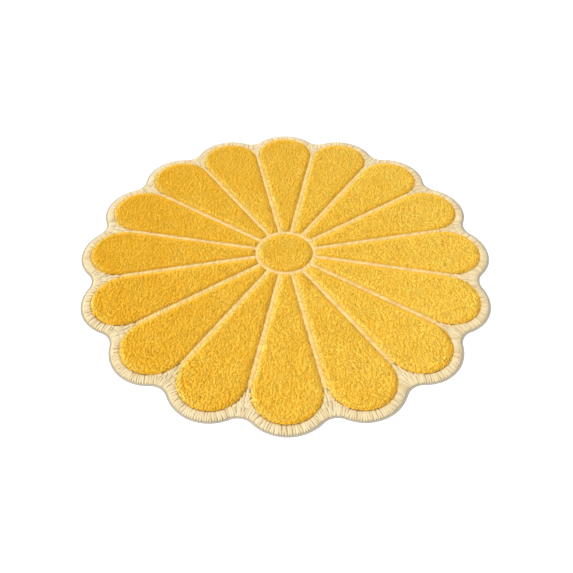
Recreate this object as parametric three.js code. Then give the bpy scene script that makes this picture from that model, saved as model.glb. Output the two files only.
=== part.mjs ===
// Flower-shaped bath mat: sixteen yellow pile petals round a yellow pile centre, set into a
// cream base cloth with a raised stitched border and raised dividers, on a taupe backing sheet.
// Millimetres, +Z up. The mat lies on z = 0 with its middle at x = y = 0, and one petal points
// along -Y.

import * as THREE from 'three';
import { mergeVertices } from 'three/addons/utils/BufferGeometryUtils.js';

// Driving dimensions
const petalCount = 16;
const tipRadius = 300; // from the middle of the mat to the tip of a petal
const lobeRadius = 59; // round end of a petal, at the mat's edge
const notchRadius = 23.6; // hollow between two petals, at the mat's edge

const rimWidth = 3; // backing that shows beyond the cream cloth
const borderWidth = 11.2; // cream border between the rim and the pile
const dividerWidth = 5; // cream ridge between two petals
const discRadius = 39.6; // yellow centre
const ringWidth = 5.2; // cream ridge round the centre
const innerCornerRadius = 2; // corners at the narrow end of a petal

const backingThickness = 1.5;
const backingRound = 0.5; // how far the backing's edge is rounded
const pieceGap = 0.3; // between any two pieces
const groundFloor = 2.6; // top of the base cloth under the pile
const ridgeTop = 4; // top of the border, the dividers and the ring
const pileTop = 6.5; // crown of the pile

// How finely the curves are stepped
const lobeSteps = 12;
const notchSteps = 4;
const capSteps = 18;
const cornerSteps = 2;
const innerEndSteps = 2;
const discSteps = 40;

// Values worked out from the driving dimensions
const petalAngle = (2 * Math.PI) / petalCount;
const halfPetal = petalAngle / 2;
const firstPetalAngle = -Math.PI / 2;
const lobeDistance = tipRadius - lobeRadius;
const notchDistance = lobeDistance * Math.cos(halfPetal)
  + Math.sqrt((lobeRadius + notchRadius) ** 2 - (lobeDistance * Math.sin(halfPetal)) ** 2);
const pileTipRadius = tipRadius - rimWidth - borderWidth;
const petalInnerRadius = discRadius + ringWidth;
const groundBase = backingThickness + pieceGap;
const pileBase = groundFloor + pieceGap;

// The yellow pile's cap is tangent to both sides of the petal, so its centre and radius follow
// from the tip and from the divider: the cap's centre stands capDistance from the middle.
const capDistance = (pileTipRadius + dividerWidth / 2) / (1 + Math.sin(halfPetal));
const capRadius = pileTipRadius - capDistance;

// Sections: each row is a loop of the outline, moved in or out by `inset`, at height z.
const backingSection = [
  { inset: backingRound, z: 0 },
  { inset: 0, z: backingThickness / 2 },
  { inset: backingRound, z: backingThickness },
];
const borderSection = [
  { inset: 0.5, z: groundBase },
  { inset: 0, z: groundBase + 0.4 },
  { inset: 1, z: groundBase + 1.2 },
  { inset: 2.6, z: ridgeTop - 0.4 },
  { inset: 4.6, z: ridgeTop },
];
// From the top of a ridge down to the floor of the pile's pocket: `outset` is how far the ridge
// reaches away from the pile.
const ridgeSection = [
  { outset: 2.1, z: ridgeTop },
  { outset: 1.2, z: ridgeTop - 0.3 },
  { outset: 0, z: ridgeTop - 1 },
  { outset: 0, z: groundFloor },
];
const pileSection = [
  { inset: 0.5, z: pileBase },
  { inset: pieceGap, z: pileBase + 0.6 },
  { inset: 0.7, z: pileTop - 2 },
  { inset: 2.4, z: pileTop - 0.7 },
  { inset: 5, z: pileTop },
];

// A point at `radius` and `angle` from a centre.
function polar(radius, angle, centre = { x: 0, y: 0 }) {
  return { x: centre.x + radius * Math.cos(angle), y: centre.y + radius * Math.sin(angle) };
}

// Points along an arc. The last point is left out, so that the next stretch begins with it.
function arc(centre, radius, from, to, steps) {
  const points = [];
  for (let step = 0; step < steps; step += 1) {
    points.push(polar(radius, from + ((to - from) * step) / steps, centre));
  }
  return points;
}

// The scalloped outline of the mat, moved in by `inset`, anticlockwise.
function scallopOutline(inset) {
  const points = [];
  const lobeX = lobeDistance;
  const notchX = notchDistance * Math.cos(halfPetal);
  const notchY = notchDistance * Math.sin(halfPetal);
  const turn = Math.atan2(notchY, notchX - lobeX); // where a lobe meets its notch
  for (let petal = 0; petal < petalCount; petal += 1) {
    const axis = firstPetalAngle + petal * petalAngle;
    const lobeCentre = polar(lobeDistance, axis);
    const notchCentre = polar(notchDistance, axis + halfPetal);
    points.push(...arc(lobeCentre, lobeRadius - inset, axis - turn, axis + turn, lobeSteps));
    points.push(...arc(notchCentre, notchRadius + inset, axis + turn + Math.PI,
      axis + petalAngle - turn + Math.PI, notchSteps));
  }
  return points;
}

// The outline of one petal's pile, moved in by `inset`, anticlockwise, about the angle `axis`.
function petalOutline(inset, axis) {
  const capCentre = polar(capDistance, axis);
  const cap = capRadius - inset;
  const inner = petalInnerRadius + inset;
  const side = dividerWidth / 2 + inset;
  const corner = innerCornerRadius;
  // Each inner corner is an arc tangent to the petal's side and to the arc of the inner end.
  const cornerDistance = inner + corner;
  const cornerAngle = halfPetal - Math.asin((side + corner) / cornerDistance);
  const lowCorner = polar(cornerDistance, axis - cornerAngle);
  const highCorner = polar(cornerDistance, axis + cornerAngle);
  const sideTurn = halfPetal + Math.PI / 2;
  return [
    ...arc(capCentre, cap, axis - sideTurn, axis + sideTurn, capSteps),
    polar(cap, axis + sideTurn, capCentre),
    ...arc(highCorner, corner, axis + sideTurn, axis + cornerAngle + Math.PI, cornerSteps),
    ...arc({ x: 0, y: 0 }, inner, axis + cornerAngle, axis - cornerAngle, innerEndSteps),
    ...arc(lowCorner, corner, axis - cornerAngle + Math.PI, axis + 2 * Math.PI - sideTurn,
      cornerSteps),
    polar(corner, axis - sideTurn, lowCorner),
  ];
}

// The outline of the centre's pile, moved in by `inset`.
function discOutline(inset) {
  return arc({ x: 0, y: 0 }, discRadius - inset, 0, 2 * Math.PI, discSteps);
}

// Collects triangles from loops of points at given heights.
class Shell {
  constructor() {
    this.positions = [];
  }

  triangle(a, b, c) {
    this.positions.push(a.x, a.y, a.z, b.x, b.y, b.z, c.x, c.y, c.z);
  }

  // A band between two anticlockwise loops of as many points. Its faces point away from the
  // inside of the loops when `upper` follows `lower` on the way up an outer wall.
  band(lower, upper) {
    for (let i = 0; i < lower.length; i += 1) {
      const next = (i + 1) % lower.length;
      this.triangle(lower[i], lower[next], upper[next]);
      this.triangle(lower[i], upper[next], upper[i]);
    }
  }

  // A flat face inside `loop` and outside each of `holes`, facing up or down.
  face(loop, holes, facesUp) {
    const all = [...loop, ...holes.flat()];
    for (const [i, j, k] of THREE.ShapeUtils.triangulateShape(loop, holes)) {
      if (facesUp) {
        this.triangle(all[i], all[j], all[k]);
      } else {
        this.triangle(all[i], all[k], all[j]);
      }
    }
  }

  geometry() {
    const geometry = new THREE.BufferGeometry();
    geometry.setAttribute('position', new THREE.Float32BufferAttribute(this.positions, 3));
    const merged = mergeVertices(geometry, 1e-3);
    merged.computeVertexNormals();
    return merged;
  }
}

// The loops of a section, from the bottom up. `outlineOf` gives the outline for an inset.
function loopsOf(section, outlineOf) {
  return section.map(({ inset, z }) => outlineOf(inset).map(({ x, y }) => new THREE.Vector3(x, y, z)));
}

// A closed solid whose section is the same all the way round its outline.
function paddedGeometry(section, outlineOf) {
  const shell = new Shell();
  const loops = loopsOf(section, outlineOf);
  shell.face(loops[0], [], false);
  for (let i = 1; i < loops.length; i += 1) {
    shell.band(loops[i - 1], loops[i]);
  }
  shell.face(loops[loops.length - 1], [], true);
  return shell.geometry();
}

// The cream cloth: a rounded border outside, and a pocket with a rounded rim for each pile field.
function groundGeometry(pocketOutlines) {
  const shell = new Shell();
  const outer = loopsOf(borderSection, (inset) => scallopOutline(rimWidth + inset));
  shell.face(outer[0], [], false);
  for (let i = 1; i < outer.length; i += 1) {
    shell.band(outer[i - 1], outer[i]);
  }
  const pocketSection = ridgeSection.map(({ outset, z }) => ({ inset: -outset, z }));
  const rims = [];
  for (const outlineOf of pocketOutlines) {
    const pocket = loopsOf(pocketSection, outlineOf);
    for (let i = 1; i < pocket.length; i += 1) {
      shell.band(pocket[i - 1], pocket[i]);
    }
    shell.face(pocket[pocket.length - 1], [], true);
    rims.push(pocket[0]);
  }
  shell.face(outer[outer.length - 1], rims, true);
  return shell.geometry();
}

function namedMesh(name, geometry, look) {
  const mesh = new THREE.Mesh(geometry, new THREE.MeshStandardMaterial(look));
  mesh.name = name;
  return mesh;
}

const taupeRubber = { color: 0xb9ae9a, roughness: 0.9, metalness: 0 };
const creamCotton = { color: 0xf4dfb4, roughness: 0.85, metalness: 0 };
const yellowPile = { color: 0xf1bb39, roughness: 0.95, metalness: 0 };

const petalOutlines = [];
for (let petal = 0; petal < petalCount; petal += 1) {
  const axis = firstPetalAngle + petal * petalAngle;
  petalOutlines.push((inset) => petalOutline(inset, axis));
}

const mat = new THREE.Group();
mat.add(namedMesh('backing', paddedGeometry(backingSection, scallopOutline), taupeRubber));
mat.add(namedMesh('ground', groundGeometry([...petalOutlines, discOutline]), creamCotton));
petalOutlines.forEach((outlineOf, petal) => {
  const name = `petal_${String(petal + 1).padStart(2, '0')}`;
  mat.add(namedMesh(name, paddedGeometry(pileSection, outlineOf), yellowPile));
});
mat.add(namedMesh('centre', paddedGeometry(pileSection, discOutline), yellowPile));

export default mat;
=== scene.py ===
import math
import random

import bpy
from mathutils import Matrix, Vector, kdtree, noise
from mathutils.geometry import tessellate_polygon


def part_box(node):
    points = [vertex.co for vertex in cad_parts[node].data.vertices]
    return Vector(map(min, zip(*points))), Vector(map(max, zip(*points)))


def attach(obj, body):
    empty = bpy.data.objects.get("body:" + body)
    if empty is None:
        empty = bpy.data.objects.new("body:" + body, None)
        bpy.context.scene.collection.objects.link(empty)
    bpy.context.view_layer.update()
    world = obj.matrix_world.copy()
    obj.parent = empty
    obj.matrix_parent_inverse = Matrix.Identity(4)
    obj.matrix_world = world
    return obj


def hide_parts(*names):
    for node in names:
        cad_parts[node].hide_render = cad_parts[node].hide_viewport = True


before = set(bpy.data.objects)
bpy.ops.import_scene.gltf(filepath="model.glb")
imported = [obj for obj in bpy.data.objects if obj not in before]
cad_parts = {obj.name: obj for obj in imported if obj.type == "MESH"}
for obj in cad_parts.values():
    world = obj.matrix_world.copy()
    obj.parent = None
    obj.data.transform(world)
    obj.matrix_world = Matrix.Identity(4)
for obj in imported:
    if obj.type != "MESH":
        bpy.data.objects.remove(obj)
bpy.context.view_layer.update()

# Flower-shaped bath mat: yellow pile petals tufted into a cream cloth with a stitched border and
# stitched dividers, on a taupe backing. Everything is in metres.
mm = 0.001

flower = {
    "petals": 16,
    "tipRadius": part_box("backing")[1].x,       # middle of the mat to the tip of a petal
    "rimWidth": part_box("backing")[1].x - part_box("ground")[1].x,
    "borderWidth": 11.2 * mm,                  # cream, from the rim to the pile
    "dividerWidth": 5.0 * mm,                  # cream, between two petals
    "ringWidth": 5.2 * mm,                     # cream, round the yellow centre
    "discRadius": 39.6 * mm,                   # the yellow centre
    "lobeRadius": 59 * mm,                     # round end of a petal, at the mat's edge
    "notchRadius": 23.6 * mm,                  # hollow between two petals, at the mat's edge
    "innerCorner": 2 * mm,                     # corners of the pile at a petal's narrow end
}
petalNodes = sorted(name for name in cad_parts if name.startswith("petal_"))
halfPetal = math.pi / flower["petals"]
petalAxes = [-math.pi / 2 + 2 * halfPetal * place for place in range(flower["petals"])]

# Where the arcs of the outline stand, from the sizes above
lobeDistance = flower["tipRadius"] - flower["lobeRadius"]
notchDistance = lobeDistance * math.cos(halfPetal) + math.sqrt(
    (flower["lobeRadius"] + flower["notchRadius"]) ** 2
    - (lobeDistance * math.sin(halfPetal)) ** 2)
lobeTurn = math.atan2(notchDistance * math.sin(halfPetal),
                      notchDistance * math.cos(halfPetal) - lobeDistance)
pileTip = flower["tipRadius"] - flower["rimWidth"] - flower["borderWidth"]
capDistance = (pileTip + flower["dividerWidth"] / 2) / (1 + math.sin(halfPetal))
capRadius = pileTip - capDistance
innerRadius = flower["discRadius"] + flower["ringWidth"]


# Outlines: lists of flat points, anticlockwise, moved in by inset

def polar(radius, angle, centre=Vector((0, 0))):
    return centre + Vector((radius * math.cos(angle), radius * math.sin(angle)))


def arc(centre, radius, start, end, steps):
    # the end is left out, because the next stretch begins there
    return [polar(radius, start + (end - start) * step / steps, centre) for step in range(steps)]


def scallopLoop(inset, lobeSteps=36, notchSteps=12):
    points = []
    for axis in petalAxes:
        points += arc(polar(lobeDistance, axis), flower["lobeRadius"] - inset,
                      axis - lobeTurn, axis + lobeTurn, lobeSteps)
        points += arc(polar(notchDistance, axis + halfPetal), flower["notchRadius"] + inset,
                      axis + lobeTurn + math.pi, axis + 2 * halfPetal - lobeTurn + math.pi,
                      notchSteps)
    return points


def petalLoop(inset, axis, capSteps=48, sideSteps=40, cornerSteps=4, endSteps=6):
    side = flower["dividerWidth"] / 2 + inset
    corner = flower["innerCorner"]
    cornerDistance = innerRadius + inset + corner
    cornerAngle = halfPetal - math.asin((side + corner) / cornerDistance)
    high = polar(cornerDistance, axis + cornerAngle)
    low = polar(cornerDistance, axis - cornerAngle)
    sideTurn = halfPetal + math.pi / 2
    cap = polar(capDistance, axis)
    radius = capRadius - inset

    def straight(start, end):
        return [start.lerp(end, step / sideSteps) for step in range(sideSteps)]

    points = arc(cap, radius, axis - sideTurn, axis + sideTurn, capSteps)
    points += straight(polar(radius, axis + sideTurn, cap), polar(corner, axis + sideTurn, high))
    points += arc(high, corner, axis + sideTurn, axis + cornerAngle + math.pi, cornerSteps)
    points += arc(Vector((0, 0)), innerRadius + inset, axis + cornerAngle, axis - cornerAngle,
                  endSteps)
    points += arc(low, corner, axis - cornerAngle + math.pi, axis + 2 * math.pi - sideTurn,
                  cornerSteps)
    points += straight(polar(corner, axis - sideTurn, low), polar(radius, axis - sideTurn, cap))
    return points


def discLoop(inset, steps=96):
    return arc(Vector((0, 0)), flower["discRadius"] - inset, 0, 2 * math.pi, steps)


def loopArea(points):
    return abs(sum(a.cross(b) for a, b in zip(points, points[1:] + points[:1]))) / 2


# Meshes from outlines

class Shell:
    def __init__(self):
        self.points = []
        self.faces = []

    def addLoop(self, flatPoints, height):
        first = len(self.points)
        self.points += [(x, y, height) for x, y in flatPoints]
        return list(range(first, len(self.points)))

    def band(self, lower, upper):
        for here in range(len(lower)):
            after = (here + 1) % len(lower)
            self.faces.append((lower[here], lower[after], upper[after], upper[here]))

    def climb(self, section, outlineOf):
        # loops of a section, joined from the first row to the last
        loops = [self.addLoop(outlineOf(inset), height) for inset, height in section]
        for lower, upper in zip(loops, loops[1:]):
            self.band(lower, upper)
        return loops

    def lid(self, loop, holes=(), facesUp=True):
        rings = [loop, *holes]
        flat = [index for ring in rings for index in ring]
        outlines = [[Vector((*self.points[index][:2], 0)) for index in ring] for ring in rings]
        for corners in tessellate_polygon(outlines):
            a, b, c = (Vector(self.points[flat[corner]]) for corner in corners)
            upward = (b - a).cross(c - a).z > 0
            order = corners if upward == facesUp else reversed(corners)
            self.faces.append(tuple(flat[corner] for corner in order))

    def mesh(self, name):
        made = bpy.data.meshes.new(name)
        made.from_pydata(self.points, [], self.faces)
        made.validate()
        made.shade_smooth()
        return made


def addPiece(name, mesh):
    piece = bpy.data.objects.new(name, mesh)
    bpy.context.scene.collection.objects.link(piece)
    return piece


# Wiring of shader and geometry nodes

class Wire:
    # One socket of a node tree. Sums and products of wires add the Math nodes that they need.
    def __init__(self, tree, socket=None):
        self.tree = tree
        self.socket = socket

    def plug(self, target, value):
        if isinstance(value, Wire):
            self.tree.links.new(value.socket, target)
        else:
            target.default_value = value

    def node(self, kind, settings=None, values=None, out=0):
        made = self.tree.nodes.new(kind)
        for name, setting in (settings or {}).items():
            if name == "stops":
                for element, (position, colour) in zip(made.color_ramp.elements, setting):
                    element.position = position
                    element.color = colour
            else:
                setattr(made, name, setting)
        for place, value in (values or {}).items():
            usable = [socket for socket in made.inputs if socket.enabled]
            named = [socket for socket in usable if socket.name == place]
            self.plug(usable[place] if isinstance(place, int) else named[0], value)
        outs = [socket for socket in made.outputs if socket.enabled]
        if isinstance(out, str):
            outs = [socket for socket in outs if socket.name == out]
            return Wire(self.tree, outs[0])
        return Wire(self.tree, outs[out] if outs else None)

    def other(self, name):
        # another output of the same node
        return Wire(self.tree, self.socket.node.outputs[name])

    def maths(self, operation, *values):
        given = dict(enumerate(values))
        return self.node("ShaderNodeMath", {"operation": operation}, given)

    def __add__(self, value):
        return self.maths("ADD", self, value)

    def __radd__(self, value):
        return self.maths("ADD", value, self)

    def __sub__(self, value):
        return self.maths("SUBTRACT", self, value)

    def __rsub__(self, value):
        return self.maths("SUBTRACT", value, self)

    def __mul__(self, value):
        return self.maths("MULTIPLY", self, value)

    def __rmul__(self, value):
        return self.maths("MULTIPLY", value, self)

    def __truediv__(self, value):
        return self.maths("DIVIDE", self, value)

    def __rtruediv__(self, value):
        return self.maths("DIVIDE", value, self)

    def __pow__(self, value):
        return self.maths("POWER", self, value)

    def __rpow__(self, value):
        return self.maths("POWER", value, self)

    def sine(self):
        return self.maths("SINE", self)

    def clamped(self):
        # held between 0 and 1
        return self.node("ShaderNodeClamp", {}, {"Value": self})

    def vector(self, operation, *values):
        # the wire itself is the first of the vectors
        given = dict(enumerate((self, *values)))
        return self.node("ShaderNodeVectorMath", {"operation": operation}, given)

    def length(self):
        return self.vector("LENGTH").other("Value")

    def axis(self, name):
        return self.node("ShaderNodeSeparateXYZ", {}, {"Vector": self}).other(name)

    def noise(self, scale, detail):
        # noise at the place that the wire gives
        return self.node("ShaderNodeTexNoise", {},
                         {"Vector": self, "Scale": scale, "Detail": detail}, "Fac")

    def ramp(self, stops):
        # a colour for the wire's value, between two stops of a position and a colour
        return self.node("ShaderNodeValToRGB", {"stops": stops}, {"Fac": self})

    def towards(self, colour, factor, kind="RGBA"):
        # mixes the wire with another colour or vector
        return self.node("ShaderNodeMix", {"data_type": kind},
                         {"Factor": factor, "A": self, "B": colour})

    def bump(self, strength, distance, normal=None):
        # a normal that follows the wire as a height
        given = {"Strength": strength, "Distance": distance, "Height": self}
        if normal:
            given["Normal"] = normal
        return self.node("ShaderNodeBump", {}, given)


def srgb(red, green, blue):
    # a screen colour, made linear, with full alpha
    def linear(value):
        value /= 255
        return value / 12.92 if value <= 0.04045 else ((value + 0.055) / 1.055) ** 2.4
    return (linear(red), linear(green), linear(blue), 1)


def newMaterial(name, steady):
    # a material, its wiring and its Principled shader's sockets, with steady values by name
    material = bpy.data.materials.new(name)
    material.use_nodes = True
    tree = material.node_tree
    tree.nodes.clear()
    start = Wire(tree)
    shader = start.node("ShaderNodeBsdfPrincipled", {}, steady)
    start.node("ShaderNodeOutputMaterial", {}, {"Surface": shader})
    return material, start, shader.socket.node.inputs


def objectPlace(start):
    return start.node("ShaderNodeTexCoord", {}, {}, "Object")


def surfaceNormal(start):
    return start.node("ShaderNodeNewGeometry", {}, {}, "Normal")


def painted(start, name, out="Fac"):
    # what the mesh itself keeps under a name
    return start.node("ShaderNodeAttribute", {"attribute_name": name}, {}, out)


def newTree(name, inputs):
    # a geometry tree whose inputs are a name, a socket type and a usual value
    tree = bpy.data.node_groups.new(name, "GeometryNodeTree")
    tree.interface.new_socket("Geometry", in_out="INPUT", socket_type="NodeSocketGeometry")
    tree.interface.new_socket("Geometry", in_out="OUTPUT", socket_type="NodeSocketGeometry")
    for label, (kind, usual) in inputs.items():
        socket = tree.interface.new_socket(label, in_out="INPUT", socket_type=f"NodeSocket{kind}")
        if usual is not None:
            socket.default_value = usual
    start = Wire(tree)
    entry = start.node("NodeGroupInput", {}, {}, "Geometry")
    return tree, start, entry, {label: entry.other(label) for label in inputs}


def read(start, name, kind="FLOAT"):
    return start.node("GeometryNodeInputNamedAttribute", {"data_type": kind}, {"Name": name})


def keep(geometry, name, value, kind="FLOAT"):
    return geometry.node("GeometryNodeStoreNamedAttribute", {"data_type": kind},
                         {"Geometry": geometry, "Name": name, "Value": value})


def turnedAlong(run):
    # a turn about Z that takes X along the run
    return run.node("FunctionNodeAlignRotationToVector", {"axis": "X", "pivot_axis": "Z"},
                    {"Vector": run})


def layCopies(points, shape, run, stretch):
    # the shape at each point, turned along its run and stretched, as real geometry
    laid = points.node("GeometryNodeInstanceOnPoints", {}, {
        "Points": points, "Instance": shape, "Rotation": turnedAlong(run), "Scale": stretch})
    return laid.node("GeometryNodeRealizeInstances", {}, {"Geometry": laid})


def finishTree(geometry, material):
    made = geometry.node("GeometryNodeSetMaterial", {},
                         {"Geometry": geometry, "Material": material})
    made.node("NodeGroupOutput", {}, {"Geometry": made})


def runTree(piece, tree, values):
    # makes the tree's result the piece's own plain mesh
    modifier = piece.modifiers.new(tree.name, "NODES")
    modifier.node_group = tree
    for socket in tree.interface.items_tree:
        if socket.in_out == "INPUT" and socket.name in values:
            modifier[socket.identifier] = values[socket.name]
    bpy.context.view_layer.update()
    ready = piece.evaluated_get(bpy.context.evaluated_depsgraph_get())
    finished = bpy.data.meshes.new_from_object(ready)
    piece.modifiers.remove(modifier)
    old = piece.data
    piece.data = finished
    finished.name = piece.name
    bpy.data.meshes.remove(old)
    return piece


# Materials

def pileMaterial():
    look = {
        "body": [(0.15, srgb(241, 178, 33)), (0.85, srgb(247, 207, 82))],  # darker and lighter tones, set by random tone and by painted light
        "strandShare": 0.5,             # how much each adds to the body's light
        "patchShare": 0.5,
        "fibreShare": 0.25,
        # painted light: faces that point up are painted lighter
        "topLightShare": 0.2,
        "paintedLightAcross": 1.0,                  # painted light falloff: how much paler the pile is painted, a metre further to the right
        "darker": 0.3,                  # taken off their sum
        "patchScale": 30,
        # painted shade: fibres are darker and more orange towards their roots and on the pad,
        # where shade falls deep in the pile
        "root": srgb(232, 157, 20),
        "depthShadeFade": 1.8,                # how soon a fibre loses the painted shade of its root
        "depthShadeFibres": 0.9,
        "depthShadeUpward": 0.4,
        "depthShadeReach": 0.6,
        "nap": srgb(245, 222, 110),     # painted highlight, where the pile's shoulder faces left and back, towards the key light
        "litSideReach": 2.0,
        "litSideStart": 0.05,
        "shadedSide": srgb(255, 192, 58),      # painted shade, more orange, where the shoulder faces away from the key light
        "shadedSideReach": 3.0,
        "fibreScale": 1700,
        "fibreStretch": 0.2,            # fibres run along the combing
        "fibreBump": 0.5,
        "fibreDepth": 0.3 * mm,
        "fluff": 0.86,                  # how far the strands' light and shade is evened out
    }
    material, start, shader = newMaterial("yellowPile", {
        "Roughness": 0.8, "Specular IOR Level": 0.15, "Sheen Weight": 0.12,
        "Sheen Roughness": 0.5, "Sheen Tint": srgb(255, 225, 130)})
    place = objectPlace(start)
    patches = place.noise(look["patchScale"], 3)
    stretched = place.vector("MULTIPLY", (1, look["fibreStretch"], 1))
    fibres = stretched.noise(look["fibreScale"], 2)
    own = surfaceNormal(start)
    upward = own.axis("Z")
    along = painted(start, "along")
    # the body's tone: random by strand, patch and fibre, with painted light on upward faces and
    # towards the right
    light = (painted(start, "shade") * look["strandShare"] + patches * look["patchShare"]
             + fibres * look["fibreShare"] + upward * look["topLightShare"]
             + place.axis("X") * look["paintedLightAcross"] - look["darker"]).clamped()
    body = light.ramp(look["body"])
    # painted highlight where the shoulders face the key light
    turned = painted(start, "nap")
    body = body.towards(look["nap"], (turned * look["litSideReach"] - look["litSideStart"]).clamped())
    # painted shade where the shoulder faces away from the key light
    body = body.towards(look["shadedSide"], (turned * -look["shadedSideReach"]).clamped())
    # painted shade deep in the pile: the root colour where fibres are low, on the pad and on
    # sides that face down
    outer = (along * look["depthShadeFade"] + fibres * look["depthShadeFibres"]
             + upward * look["depthShadeUpward"] - look["depthShadeReach"]).clamped()
    start.plug(shader["Base Color"], body.towards(look["root"], 1 - outer))
    evened = own.towards(painted(start, "facing", "Vector"), look["fluff"], "VECTOR")
    evened = evened.vector("NORMALIZE")
    start.plug(shader["Normal"], fibres.bump(look["fibreBump"], look["fibreDepth"], evened))
    return material


def yarnMaterial():
    look = {
        "body": [(0.2, srgb(192, 171, 129)), (0.75, srgb(210, 195, 157))],  # shade and light
        "yarnShare": 0.5,                  # how much each adds to the body's light
        "patchShare": 0.5,
        "twistShare": 0.15,
        "darker": 0.08,                    # taken off their sum
        "patchScale": 90,
        "sideShade": (1.08, 0.96, 0.8),       # painted shade: a warmer, darker tint of the yarns' sides that face down into the gaps
        "sideShadeReach": 1.1,
        "sideShadeFade": 1.3,
        "pileBounceTint": (1.13, 0.93, 0.53),    # painted reflection: the yellow pile's light, thrown onto the cream beside it
        "pileBounceReach": 5.5 * mm,
        "pileBounceFade": 1.3,
        "plies": 2.2 * mm,                 # one turn of the yarn's twist
        "twistBump": 0.3,
        "twistDepth": 0.25 * mm,
        "fibreScale": 3000,
        "fibreHeight": 0.4,                # of the twist's own
    }
    material, start, shader = newMaterial("creamYarn", {
        "Roughness": 0.75, "Specular IOR Level": 0.3, "Sheen Weight": 0.15,
        "Sheen Roughness": 0.5})
    place = objectPlace(start)
    patches = place.noise(look["patchScale"], 3)
    turn = painted(start, "along") / look["plies"] + painted(start, "around")
    twist = (turn * (2 * math.pi)).sine() * 0.5 + 0.5
    light = (painted(start, "shade") * look["yarnShare"] + patches * look["patchShare"]
             + twist * look["twistShare"] - look["darker"]).clamped()
    body = light.ramp(look["body"])
    upward = surfaceNormal(start).axis("Z")
    # painted shade on the sides that turn away from the top
    sideShade = (look["sideShadeReach"] - upward * look["sideShadeFade"]).clamped()
    body = body.towards(body.vector("MULTIPLY", look["sideShade"]), sideShade)
    # painted reflected light from the yellow pile, strongest right beside it
    bounced = (1 - painted(start, "toPile") / look["pileBounceReach"]).clamped() ** look["pileBounceFade"]
    body = body.towards(body.vector("MULTIPLY", look["pileBounceTint"]), bounced)
    start.plug(shader["Base Color"], body)
    height = twist + place.noise(look["fibreScale"], 2) * look["fibreHeight"]
    start.plug(shader["Normal"], height.bump(look["twistBump"], look["twistDepth"]))
    return material


def clothMaterial():
    look = {
        "body": [(0.1, srgb(208, 184, 135)), (0.9, srgb(224, 203, 157))],  # shade and light
        "patchShare": 0.7,             # how much each adds to the body's light
        "weaveShare": 0.3,
        "patchScale": 120,
        "threads": 1250,               # in a metre
        "weaveBump": 0.5,
        "weaveDepth": 0.15 * mm,
    }
    material, start, shader = newMaterial("creamCloth", {
        "Roughness": 0.85, "Specular IOR Level": 0.25, "Sheen Weight": 0.1})
    place = objectPlace(start)
    waves = [(place.axis(name) * (look["threads"] * 2 * math.pi)).sine() for name in "XY"]
    weave = waves[0] * waves[1] * 0.5 + 0.5
    patches = place.noise(look["patchScale"], 4)
    light = (patches * look["patchShare"] + weave * look["weaveShare"]).clamped()
    start.plug(shader["Base Color"], light.ramp(look["body"]))
    start.plug(shader["Normal"], weave.bump(look["weaveBump"], look["weaveDepth"]))
    return material


def backingMaterial():
    look = {
        "body": [(0.25, srgb(147, 140, 125)), (0.75, srgb(169, 161, 145))],  # shade and light
        "grainShare": 0.5,             # how much each adds to the body's light
        "patchShare": 0.5,
        "grainScale": 900,
        "patchScale": 60,
        "grainBump": 0.35,
        "grainDepth": 0.2 * mm,
    }
    material, start, shader = newMaterial("taupeBacking", {
        "Roughness": 0.8, "Specular IOR Level": 0.3})
    place = objectPlace(start)
    grain = place.noise(look["grainScale"], 3)
    patches = place.noise(look["patchScale"], 3)
    light = (grain * look["grainShare"] + patches * look["patchShare"]).clamped()
    start.plug(shader["Base Color"], light.ramp(look["body"]))
    start.plug(shader["Normal"], grain.bump(look["grainBump"], look["grainDepth"]))
    return material


# Backing: a thin sheet that shows as a rim all round

def makeBacking(material):
    sizes = {"thickness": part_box("backing")[1].z, "round": 0.6 * mm, "roundSteps": 5}
    shell = Shell()
    section = []
    for step in range(sizes["roundSteps"] + 1):
        turn = math.pi * (step / sizes["roundSteps"] - 0.5)
        section.append((sizes["round"] * (1 - math.cos(turn)),
                        sizes["thickness"] * (1 + math.sin(turn)) / 2))
    loops = shell.climb(section, scallopLoop)
    shell.lid(loops[0], facesUp=False)
    shell.lid(loops[-1])
    piece = addPiece("backingSheet", shell.mesh("backingSheet"))
    piece.data.materials.append(material)
    return piece


# Cream cloth: a rounded border, with a pocket for each field of pile

def makeCloth(material):
    # rows of an inset and a height, in millimetres
    sizes = {
        "stitchRoom": 0.6 * mm,        # the stitches make up the rest of the height
        "floorGap": 0.3 * mm,          # under the pile
        "foot": [(0.5, 0), (0, 0.15), (1.0, 0.45)],                     # above the underside
        "crown": [(2.4, -0.4), (3.6, -0.1), (4.8, 0)],                  # from the top
        "pocket": [(-2.1, 0), (-1.5, -0.05), (-0.9, -0.2), (-0.3, -0.45), (0, -0.7)],
    }
    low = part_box("ground")[0].z
    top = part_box("ground")[1].z - sizes["stitchRoom"]
    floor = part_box("petal_01")[0].z - sizes["floorGap"]

    def rows(part, start):
        return [(inset * mm, start + height * mm) for inset, height in sizes[part]]

    border = rows("foot", low) + rows("crown", top)
    pocket = [*rows("pocket", top), (0, floor)]
    shell = Shell()
    outer = shell.climb(border, lambda inset: scallopLoop(flower["rimWidth"] + inset))
    shell.lid(outer[0], facesUp=False)
    rims = []
    outlines = [lambda inset, axis=axis: petalLoop(inset, axis) for axis in petalAxes]
    for outlineOf in [*outlines, discLoop]:
        loops = shell.climb(pocket, outlineOf)
        shell.lid(loops[-1])
        rims.append(loops[0])
    shell.lid(outer[-1], rims)
    piece = addPiece("creamCloth", shell.mesh("creamCloth"))
    piece.data.materials.append(material)
    return piece


# Stitches: yarns laid side by side over the border, the dividers and the ring

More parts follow.
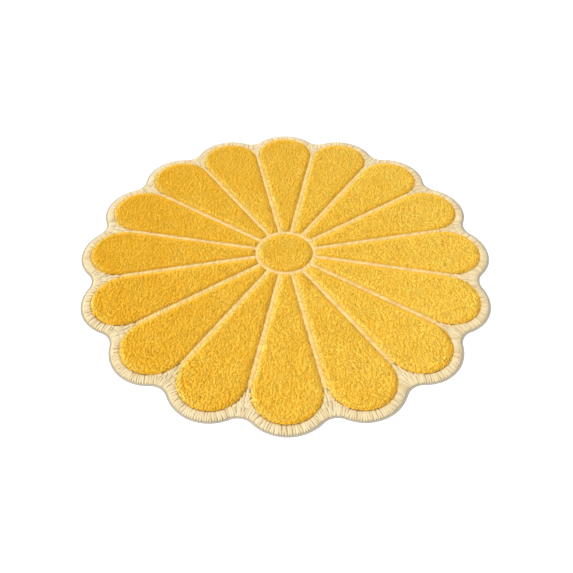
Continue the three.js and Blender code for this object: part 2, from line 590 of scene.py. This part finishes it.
def yarnTree():
    shape = {"sides": 6, "startTaper": 0.5, "endTaper": 0.3}    # how much thinner its ends are
    tree, start, guides, size = newTree("yarns", {
        "Width": ("Float", 3 * mm), "Thickness": ("Float", 1.2 * mm),
        "Rise": ("Float", 1 * mm), "Start Run": ("Float", 3 * mm), "End Run": ("Float", 2 * mm),
        "Steps": ("Int", 6), "Material": ("Material", None)})
    line = start.node("GeometryNodeCurvePrimitiveLine", {}, {"End": (1, 0, 0)})
    line = start.node("GeometryNodeResampleCurve", {}, {"Curve": line, "Count": size["Steps"]})
    run = read(start, "run", "FLOAT_VECTOR")
    reach = run.length()
    stretch = start.node("ShaderNodeCombineXYZ", {}, {"X": reach, "Y": 1.0, "Z": 1.0})
    laid = layCopies(keep(guides, "reach", reach), line, run, stretch)
    # each yarn climbs from its start, runs level and drops at its end
    reach = read(start, "reach")
    share = start.node("GeometryNodeSplineParameter", {}, {}, "Factor")
    climb = 1 - (share * reach / size["Start Run"]).clamped()
    drop = 1 - ((1 - share) * reach / size["End Run"]).clamped()
    height = size["Rise"] * (1 - climb ** 2) * (1 - drop ** 2)
    lift = start.node("ShaderNodeCombineXYZ", {}, {"Z": height})
    laid = start.node("GeometryNodeSetPosition", {}, {"Geometry": laid, "Offset": lift})
    laid = start.node("GeometryNodeSetCurveNormal", {"mode": "Z_UP"}, {"Curve": laid})
    laid = keep(laid, "along", share * reach)
    atStart, atEnd = read(start, "pileAtStart"), read(start, "pileAtEnd")
    laid = keep(laid, "toPile", atStart + (atEnd - atStart) * share)
    ring = start.node("GeometryNodeCurvePrimitiveCircle", {},
                      {"Resolution": shape["sides"], "Radius": 0.5})
    ring = keep(ring, "around", start.node("GeometryNodeSplineParameter", {}, {}, "Factor"))
    flatten = start.node("ShaderNodeCombineXYZ", {},
                         {"X": size["Width"], "Y": size["Thickness"], "Z": 1.0})
    ring = start.node("GeometryNodeTransform", {}, {"Geometry": ring, "Scale": flatten})
    taper = 1 - shape["startTaper"] * (1 - share) ** 4 - shape["endTaper"] * share ** 8
    made = start.node("GeometryNodeCurveToMesh", {}, {
        "Curve": laid, "Profile Curve": ring, "Scale": taper, "Fill Caps": True})
    made = start.node("GeometryNodeSetShadeSmooth", {}, {"Geometry": made})
    finishTree(made, size["Material"])
    return tree


def guideMesh(name, guides):
    # one point for each yarn or fibre, at its start, which keeps its vectors and numbers
    mesh = bpy.data.meshes.new(name)
    mesh.from_pydata([guide["start"] for guide in guides], [], [])
    for label in sorted(guides[0].keys() - {"start"}):
        values = [guide[label] for guide in guides]
        if isinstance(values[0], float):
            mesh.attributes.new(label, "FLOAT", "POINT").data.foreach_set("value", values)
        else:
            flat = [number for vector in values for number in vector]
            mesh.attributes.new(label, "FLOAT_VECTOR", "POINT").data.foreach_set("vector", flat)
    return mesh


def stitchGuide(start, reach, height, dice):
    return {"start": (*start, height), "run": (*reach, 0), "shade": dice.random(),
            "pileAtStart": pileDistance(start), "pileAtEnd": pileDistance(start + reach)}


def borderStitches():
    sizes = {
        "pitch": 3.1 * mm,
        "width": 3.8 * mm,
        "thickness": 1.05 * mm,
        "rise": 1.85 * mm,
        "startRun": 4.6 * mm,       # over which a yarn climbs from its outer end
        "endRun": 0.6 * mm,         # over which it drops at the pile
        "steps": 7,
        "edge": 1.6 * mm,           # from the cloth's edge to a yarn's outer end
        "overhang": 2.6 * mm,       # how much further out it starts at the front and the back
        "tuck": 1.1 * mm,           # how far it reaches over the pile's edge
        "base": 0.15 * mm,          # above the cloth's underside
        "lift": 0.25 * mm,          # how much higher single yarns lie, at most
        "wobble": 0.35 * mm,
        "uneven": 0.17,             # of the pitch
        "sway": 0.1,
        "rows": 4,                  # in the hollow between two petals
        "rowPitch": 8.5 * mm,
        "rowMiddle": 4 * mm,        # where a row's yarns lie a pitch apart
        "fewest": 2,                # yarns in a row
        "capGap": 0.6 * mm,         # they start this far from the pile's round ends
        "hollowEnd": 4 * mm,        # and no further in than this past the caps' middles
        "shortest": 2.5 * mm,
        "longest": 12 * mm,
        "seed": 11,
    }
    dice = random.Random(sizes["seed"])
    edge = flower["rimWidth"] + sizes["edge"]
    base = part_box("ground")[0].z + sizes["base"]
    lobe = flower["lobeRadius"] - edge
    notch = flower["notchRadius"] + edge
    stitches = []

    def lay(point, towards, reach):
        towards = Matrix.Rotation(dice.gauss(0, sizes["sway"]), 2) @ towards
        early = dice.uniform(-1, 1) * sizes["wobble"] - sizes["overhang"] * abs(towards.y)
        lift = dice.uniform(0, sizes["lift"])
        stitches.append(stitchGuide(point + towards * early, towards * (reach - early),
                                    base + lift, dice))

    def uneven(place, count):
        return (place + 0.5 + dice.uniform(-1, 1) * sizes["uneven"]) / count

    lobeCount = round(2 * lobeTurn * lobe / sizes["pitch"])
    notchSpan = 2 * (lobeTurn - halfPetal)
    for axis in petalAxes:
        centre = polar(lobeDistance, axis)
        for place in range(lobeCount):
            turn = axis - lobeTurn + 2 * lobeTurn * uneven(place, lobeCount)
            lay(polar(lobe, turn, centre), -polar(1, turn),
                flower["borderWidth"] + flower["rimWidth"] - edge + sizes["tuck"])
        # the hollow between two petals, filled in rows that fan towards the divider
        bisector = axis + halfPetal
        centre = polar(notchDistance, bisector)
        caps = [polar(capDistance, axis), polar(capDistance, axis + 2 * halfPetal)]
        for row in range(sizes["rows"]):
            ring = notch + row * sizes["rowPitch"]
            count = round(notchSpan * (ring + sizes["rowMiddle"]) / sizes["pitch"])
            count = max(sizes["fewest"], count)
            for place in range(count):
                turn = bisector + math.pi + notchSpan * (uneven(place, count) - 0.5)
                point = polar(ring + dice.uniform(-1, 1) * sizes["wobble"], turn, centre)
                if min((point - cap).length for cap in caps) < capRadius + sizes["capGap"]:
                    continue
                if point.length < capDistance - sizes["hollowEnd"]:
                    continue
                reach = reachToCap(point, polar(1, turn), caps) + sizes["tuck"]
                lay(point, polar(1, turn), max(min(sizes["longest"], reach), sizes["shortest"]))
    piece = addPiece("borderStitches", guideMesh("borderStitches", stitches))
    print(f"border: {len(stitches)} stitches")
    return piece, sizes


def reachToCap(point, towards, caps):
    # how far a ray runs before it meets the round end of either petal
    nearest = math.inf
    for cap in caps:
        offset = point - cap
        along = offset.dot(towards)
        inside = along ** 2 - offset.length_squared + capRadius ** 2
        if inside > 0 and -along - math.sqrt(inside) > 0:
            nearest = min(nearest, -along - math.sqrt(inside))
    return nearest


def dividerStitches():
    sizes = {
        "pitch": 3.3 * mm,
        "width": 4.2 * mm,
        "thickness": 1.3 * mm,
        "rise": 0.5 * mm,
        "startRun": 1.6 * mm,
        "endRun": 1.6 * mm,
        "steps": 5,
        "overlap": 1.1 * mm,        # how far a yarn reaches over the pile on each side
        "base": 0.8 * mm,           # above the pile's underside
        "slant": math.radians(32),
        "wobble": 0.15 * mm,
        "uneven": 0.12,             # of the pitch
        "sway": 0.06,
        "innerEnd": 0.6 * mm,       # how far the first yarn lies over the ring
        "outerEnd": 2 * mm,         # from the last yarn to where the petals' caps begin
        "seed": 23,
    }
    dice = random.Random(sizes["seed"])
    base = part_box("petal_01")[0].z + sizes["base"]
    half = flower["dividerWidth"] / 2 + sizes["overlap"]
    longer = 1 / math.cos(sizes["slant"])     # a slanting yarn is longer than a straight one
    stitches = []

    def lay(middle, angle):
        across = polar(longer, angle) * (half + dice.uniform(-1, 1) * sizes["wobble"])
        stitches.append(stitchGuide(middle - across, 2 * across, base, dice))

    inner = flower["discRadius"] + flower["ringWidth"] - sizes["innerEnd"]
    outer = capDistance - sizes["outerEnd"]
    count = round((outer - inner) / sizes["pitch"])
    for axis in petalAxes:
        bisector = axis + halfPetal
        for place in range(count):
            share = (place + 0.5 + dice.uniform(-sizes["uneven"], sizes["uneven"])) / count
            middle = polar(inner + (outer - inner) * share, bisector)
            lean = math.pi / 2 - sizes["slant"] + dice.gauss(0, sizes["sway"])
            lay(middle, bisector + lean)
    ringMiddle = flower["discRadius"] + flower["ringWidth"] / 2
    count = round(2 * math.pi * ringMiddle / sizes["pitch"])
    for place in range(count):
        turn = 2 * math.pi * place / count
        lay(polar(ringMiddle, turn), turn - sizes["slant"])
    piece = addPiece("dividerStitches", guideMesh("dividerStitches", stitches))
    print(f"dividers and ring: {len(stitches)} stitches")
    return piece, sizes


# Pile: fibres that lie over one another in locks, on a rounded base

def petalInset(point, axis):
    # how far a point lies inside a petal's pile, and which way is out
    turned = Matrix.Rotation(-axis, 2) @ point
    flip = -1 if turned.y < 0 else 1
    folded = Vector((turned.x, abs(turned.y)))
    fromCap = folded - Vector((capDistance, 0))
    if fromCap.dot(polar(1, halfPetal)) > 0:
        inset, out = capRadius - fromCap.length, fromCap.normalized()
    else:
        out = polar(1, halfPetal + math.pi / 2)
        inset = -folded.dot(out) - flower["dividerWidth"] / 2
        if folded.length - innerRadius < inset:
            inset, out = folded.length - innerRadius, -folded.normalized()
    return inset, Matrix.Rotation(axis, 2) @ Vector((out.x, flip * out.y))


def discInset(point):
    return flower["discRadius"] - point.length, point.normalized()


def pileDistance(point):
    # how far a point on the cream cloth lies from the nearest pile
    sector = round((math.atan2(point.y, point.x) + math.pi / 2) / (2 * halfPetal))
    axis = 2 * halfPetal * sector - math.pi / 2
    return max(0.0, min(-petalInset(point, axis)[0], -discInset(point)[0]))


pile = {
    "across": 0.85 * mm,        # between fibres, across the combing
    "along": 2.0 * mm,          # between fibres, along it
    "jitter": 0.4,
    "stagger": 0.382,           # from one column of fibres to the next
    "width": 1.7 * mm,          # of a fibre
    "widthRange": (0.75, 1.25),
    "lean": 3.8 * mm,           # from a fibre's root to its tip
    "leanRange": (0.8, 1.15),
    "leanLeast": 2 * mm,
    "comb": Vector((0.0, -1)),  # the way that most of the pile lies
    "swirl": 0.8,               # how much the lie wanders, against the combing
    "flowScale": 34,            # how quickly the lie turns from place to place
    "flowLayer": 3.7,           # another layer or seed gives another lie
    "flowSeed": 5,
    "stray": 0.9 * mm,          # how far a single tip strays
    "lock": Vector((2.6 * mm, 4 * mm)),  # a lock of fibres: its width and length
    "lockTurn": 0.35,           # how far a lock turns from its neighbours
    "lockRound": 0.5,           # how round a lock looks, from side to side
    "lockSide": 1.4,            # a fibre counts as no further from its middle, in half widths
    "lockTilt": 0.15,           # how much locks differ in the way they face
    "lockPull": 0.25,           # how far its fibres draw together at the tip
    "valley": 0.35 * mm,        # how much lower a fibre lies at the side of a lock
    "uneven": 0.4 * mm,         # in height, between locks and between fibres
    "fieldEdge": 0.3 * mm,      # no fibre is set nearer to the field's edge
    "rootInset": 1.2 * mm,
    "tipInset": 0.4 * mm,
    "tipRange": (0.3, 1.7),
    "edge": 3.6 * mm,           # fibres this near the edge don't lie inwards
    "shoulder": 7.0 * mm,       # over which the edge is rounded
    "shoulderDrop": 2.0 * mm,
    "shoulderSlope": 0.72,      # how far the fibres there face outwards
    "tipStep": 1 * mm,          # how much further in than its tip a fibre's height is taken
    "standing": 0.75 * mm,      # height of the crown above the pad under it
    "sunk": 0.2 * mm,           # how deep a root stands in the pad
    "heightLeast": 0.8 * mm,
    "foot": 1.8 * mm,           # over which the very edge gets painted shade and less of the painted highlight
    "paintedFootShade": 0.3,
    "lockShade": 0.45,          # of the light and shade between fibres
    "fibreShade": 0.4,
    "paintedValleyShade": 0.15,         # painted shade: a lock's lower sides are painted darker than its middle
    "litSideTowards": Vector((-0.8, 0.37, 0)),  # painted highlight: a side that faces this way, towards the key light, is painted paler
    "litSideRound": 0.3,            # painted sheen: any side is painted paler by this much too
    "padInsets": [inset * mm for inset in (1.2, 1.5, 2.0, 2.8, 3.8, 5.0)],
    "padLeast": 0.3 * mm,
    "petalSteps": {"capSteps": 28, "sideSteps": 14, "cornerSteps": 3, "endSteps": 4},
    "discSteps": 48,
    "centreSeed": 97,
    "petalSeed": 101,
    "seedStep": 7,              # from petal to petal
}
noise.seed_set(pile["flowSeed"])


def shoulderShare(inset):
    # from 0 at the field's edge to 1 where its crown begins
    return min(max(inset / pile["shoulder"], 0), 1)


def crownHeight(inset, top):
    return top - pile["shoulderDrop"] * (1 - shoulderShare(inset)) ** 2


def crownFacing(inset, out):
    # the way the rounded crown faces at a point
    slope = pile["shoulderSlope"] * (1 - shoulderShare(inset))
    return Vector((*(out * slope), 1)).normalized()


def padHeight(inset, low, top):
    return max(low + pile["padLeast"], crownHeight(inset, top) - pile["standing"])


def combedGrid(middle, reach, across, along, dice):
    # columns of points along Y, each shifted against its neighbours
    points = []
    shift = dice.random()
    columns = int(reach / across) + 1
    rows = int(reach / along) + 1
    for column in range(-columns, columns + 1):
        shift = (shift + pile["stagger"]) % 1
        for row in range(-rows, rows + 1):
            stray = Vector((dice.uniform(-1, 1), dice.uniform(-1, 1))) * pile["jitter"]
            points.append(middle + Vector(((column + stray.x) * across,
                                           (row + shift + stray.y) * along)))
    return points


def flowAt(point, turn):
    # the way the pile lies, which wanders slowly over the mat
    swirl = noise.noise_vector((*(point * pile["flowScale"]), pile["flowLayer"]))
    flow = pile["comb"] + Vector((swirl.x, swirl.y)) * pile["swirl"]
    return Matrix.Rotation(turn, 2) @ flow.normalized()


def makeLocks(insetOf, middle, reach, dice):
    # the locks of a field, and a function that finds the lock of a point
    width, length = pile["lock"]
    locks = []
    for place in combedGrid(middle, reach, width, length, dice):
        if insetOf(place)[0] > -length:
            locks.append({"middle": place, "flow": flowAt(place, dice.gauss(0, pile["lockTurn"])),
                          "shade": dice.random(), "low": dice.random(),
                          "tilt": Vector((dice.gauss(0, 1), dice.gauss(0, 1)))})
    finder = kdtree.KDTree(len(locks))
    for index, lock in enumerate(locks):
        finder.insert((lock["middle"].x * length / width, lock["middle"].y, 0), index)
    finder.balance()

    def lockAt(point):
        return locks[finder.find((point.x * length / width, point.y, 0))[1]]

    return lockAt


def fibreLean(inset, out, flow, across, dice):
    # from a fibre's root to its tip, which stays inside the field
    lean = flow * pile["lean"] * dice.uniform(*pile["leanRange"]) + across * pile["lockPull"]
    lean += polar(pile["stray"] * dice.random(), dice.uniform(0, 2 * math.pi))
    outward = lean.dot(out)
    if outward < 0 and inset < pile["edge"]:
        lean -= out * outward * (1 - inset / pile["edge"])
    excess = lean.dot(out) - (inset - pile["tipInset"] * dice.uniform(*pile["tipRange"]))
    if excess > 0:
        lean -= out * excess
    if lean.length < pile["leanLeast"]:
        along = Vector((-out.y, out.x))
        lean += along * math.copysign(pile["leanLeast"], lean.dot(along))
    return lean


def pileGuides(insetOf, middle, reach, low, top, dice):
    lockAt = makeLocks(insetOf, middle, reach, dice)
    halfLock = pile["lock"].x / 2
    fibres = []
    for root in combedGrid(middle, reach, pile["across"], pile["along"], dice):
        inset, out = insetOf(root)
        if inset < pile["fieldEdge"]:
            continue
        if inset < pile["rootInset"]:
            root -= out * (pile["rootInset"] - inset)
            inset = pile["rootInset"]
        lock = lockAt(root)
        offset = lock["middle"] - root
        across = offset - lock["flow"] * offset.dot(lock["flow"])
        lean = fibreLean(inset, out, lock["flow"], across, dice)
        tipInset = inset - lean.dot(out)
        side = min(across.length / halfLock, pile["lockSide"]) ** 2
        inner = min(inset / pile["edge"], 1)     # the edge itself is smooth
        lower = pile["valley"] * side + pile["uneven"] * (lock["low"] + dice.random()) / 2
        tip = crownHeight(min(inset, tipInset + pile["tipStep"]), top) - inner * lower
        base = padHeight(inset, low, top) - pile["sunk"]
        # painted shade, and less painted highlight, near the field's edge
        foot = 1 - min(max(tipInset / pile["foot"], 0), 1)
        # random tone by lock and by fibre, with painted shade at a lock's lower sides and at the
        # pile's foot
        shade = (pile["lockShade"] * lock["shade"] + pile["fibreShade"] * dice.random()
                 + pile["paintedValleyShade"] * (1 - side / 2) - pile["paintedFootShade"] * foot)
        tilt = lock["tilt"] * pile["lockTilt"] - across * (pile["lockRound"] / halfLock)
        crown = crownFacing(tipInset, out)
        # how far the crown faces the key light, for the painted highlight and painted shade of
        # the shoulders
        nap = crown.dot(pile["litSideTowards"]) + pile["litSideRound"] * crown.to_2d().length
        fibres.append({
            "start": (*root, base), "run": (*lean, max(tip - base, pile["heightLeast"])),
            "width": pile["width"] * dice.uniform(*pile["widthRange"]), "shade": shade,
            "facing": (crown + Vector((*tilt, 0))).normalized(), "nap": nap * (1 - foot)})
    return fibres


def fibreShape():
    # one bent fibre, pointed at both ends: one long, one wide and one high
    mesh = bpy.data.meshes.new("fibreShape")
    root, left, right, crest, tip = range(5)
    mesh.from_pydata(
        [(0, 0, 0), (0.5, -0.5, 0.7), (0.5, 0.5, 0.7), (0.55, 0, 1), (1, 0, 0.85)], [],
        [(root, right, left), (root, left, crest), (root, crest, right),
         (tip, left, right), (tip, crest, left), (tip, right, crest)])
    mesh.shade_smooth()
    along = mesh.attributes.new("along", "FLOAT", "POINT")
    along.data.foreach_set("value", [point.co.x for point in mesh.vertices])
    return addPiece("fibreShape", mesh)


def fibreTree():
    # a fibre at every guide, and the pad under them
    tree, start, guides, size = newTree("fibres", {
        "Fibre": ("Object", None), "Pad": ("Object", None), "Material": ("Material", None)})

    def meshOf(label):
        return start.node("GeometryNodeObjectInfo", {}, {"Object": size[label]}, "Geometry")

    run = read(start, "run", "FLOAT_VECTOR")
    flat = run.vector("MULTIPLY", (1, 1, 0))
    stretch = start.node("ShaderNodeCombineXYZ", {}, {
        "X": flat.length(), "Y": read(start, "width"), "Z": run.axis("Z")})
    laid = layCopies(guides, meshOf("Fibre"), flat, stretch)
    pad = keep(meshOf("Pad"), "facing", start.node("GeometryNodeInputNormal"), "FLOAT_VECTOR")
    joined = start.node("GeometryNodeJoinGeometry")
    for part in (pad, laid):
        start.plug(joined.socket.node.inputs[0], part)
    finishTree(joined, size["Material"])
    return tree


def makePile(name, node, insetOf, outlineOf, seed, tree, values):
    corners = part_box(node)
    low, top = corners[0].z, corners[1].z
    middle = (corners[0] + corners[1]).to_2d() / 2
    reach = (corners[1] - corners[0]).to_2d().length / 2
    section = [(pile["padInsets"][0], low)]
    section += [(inset, padHeight(inset, low, top)) for inset in pile["padInsets"]]
    shell = Shell()
    loops = shell.climb(section, outlineOf)
    shell.lid(loops[0], facesUp=False)
    shell.lid(loops[-1])
    pad = addPiece(name + "_pad", shell.mesh(name + "_pad"))
    guides = pileGuides(insetOf, middle, reach, low, top, random.Random(seed))
    piece = runTree(addPiece(name, guideMesh(name, guides)), tree, {**values, "Pad": pad})
    padMesh = pad.data
    bpy.data.objects.remove(pad)
    bpy.data.meshes.remove(padMesh)
    return piece


# The mat

backing = makeBacking(backingMaterial())
cloth = makeCloth(clothMaterial())
print("backing and cloth made")

yarns = yarnTree()
yarn = yarnMaterial()
stitched = []
for made, sizes in (borderStitches(), dividerStitches()):
    stitched.append(runTree(made, yarns, {
        "Width": sizes["width"], "Thickness": sizes["thickness"], "Rise": sizes["rise"],
        "Start Run": sizes["startRun"], "End Run": sizes["endRun"], "Steps": sizes["steps"],
        "Material": yarn}))
print("stitches laid")

fibres = fibreTree()
fibre = fibreShape()
pileInputs = {"Fibre": fibre, "Material": pileMaterial()}
fields = []
for place, (axis, node) in enumerate(zip(petalAxes, petalNodes)):
    field = makePile(f"petalPile_{place + 1:02d}", node,
                     lambda point, axis=axis: petalInset(point, axis),
                     lambda inset, axis=axis: petalLoop(inset, axis, **pile["petalSteps"]),
                     pile["petalSeed"] + pile["seedStep"] * place, fibres, pileInputs)
    fields.append((field, node))
field = makePile("centrePile", "centre", discInset,
                 lambda inset: discLoop(inset, pile["discSteps"]),
                 pile["centreSeed"], fibres, pileInputs)
fields.append((field, "centre"))
bpy.data.objects.remove(fibre)
print("pile tufted:", sum(len(field.data.polygons) for field, _ in fields), "faces")

for piece, node, slot in [(backing, "backing", "backing"), (cloth, "ground", "cream_cloth"),
                          *[(field, node, "yellow_pile") for field, node in fields]]:
    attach(piece, "root")
    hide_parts(node)
for piece in stitched:
    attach(piece, "root")

loopArea(scallopLoop(0))
loopArea(scallopLoop(flower["rimWidth"]))
stitched + [field for field, node in fields]


# Floor, light and camera

def makeStudio():
    studio = {
        "floor": srgb(250, 250, 250),
        "floorReach": 6,          # from its middle to its edge
        "world": 0.8,
        "keyAzimuth": 205,        # degrees, from +X towards +Y
        "keyHeight": 50,          # degrees above the floor
        "keyStrength": 3.15,
        "keySoftness": 65,        # degrees across
    }
    reach = studio["floorReach"]
    mesh = bpy.data.meshes.new("floor")
    mesh.from_pydata([(-reach, -reach, 0), (reach, -reach, 0), (reach, reach, 0),
                      (-reach, reach, 0)], [], [(0, 1, 2, 3)])
    mesh.materials.append(newMaterial("paleFloor", {
        "Base Color": studio["floor"], "Roughness": 0.9, "Specular IOR Level": 0.1})[0])
    addPiece("floor", mesh)
    world = bpy.data.worlds.new("studio")
    world.use_nodes = True
    background = world.node_tree.nodes["Background"].inputs
    background["Color"].default_value = (1, 1, 1, 1)
    background["Strength"].default_value = studio["world"]
    bpy.context.scene.world = world
    lamp = bpy.data.lights.new("key", "SUN")
    lamp.energy = studio["keyStrength"]
    lamp.angle = math.radians(studio["keySoftness"])
    key = bpy.data.objects.new("key", lamp)
    rise = math.radians(studio["keyHeight"])
    flat = polar(math.cos(rise), math.radians(studio["keyAzimuth"]))
    key.rotation_euler = Vector((*flat, math.sin(rise))).to_track_quat("Z", "Y").to_euler()
    bpy.context.scene.collection.objects.link(key)


def makeCamera():
    view = {
        "eye": Vector((-0.0074, -0.6520, 0.6496)),
        "aim": Vector((0.0006, -0.0642, 0)),
        "lens": 39.04,
        "sensor": 36,
        "roll": math.radians(0.44),
    }
    data = bpy.data.cameras.new("camera")
    data.lens = view["lens"]
    data.sensor_width = view["sensor"]
    camera = bpy.data.objects.new("camera", data)
    look = (view["aim"] - view["eye"]).normalized()
    right = look.cross(Vector((0, 0, 1))).normalized()
    right = Matrix.Rotation(-view["roll"], 3, look) @ right
    above = right.cross(look)
    camera.matrix_world = Matrix((
        (right.x, above.x, -look.x, view["eye"].x),
        (right.y, above.y, -look.y, view["eye"].y),
        (right.z, above.z, -look.z, view["eye"].z),
        (0, 0, 0, 1)))
    bpy.context.scene.collection.objects.link(camera)
    bpy.context.scene.camera = camera


makeStudio()
makeCamera()
bpy.context.scene.view_settings.view_transform = "Standard"
print("studio and camera ready")
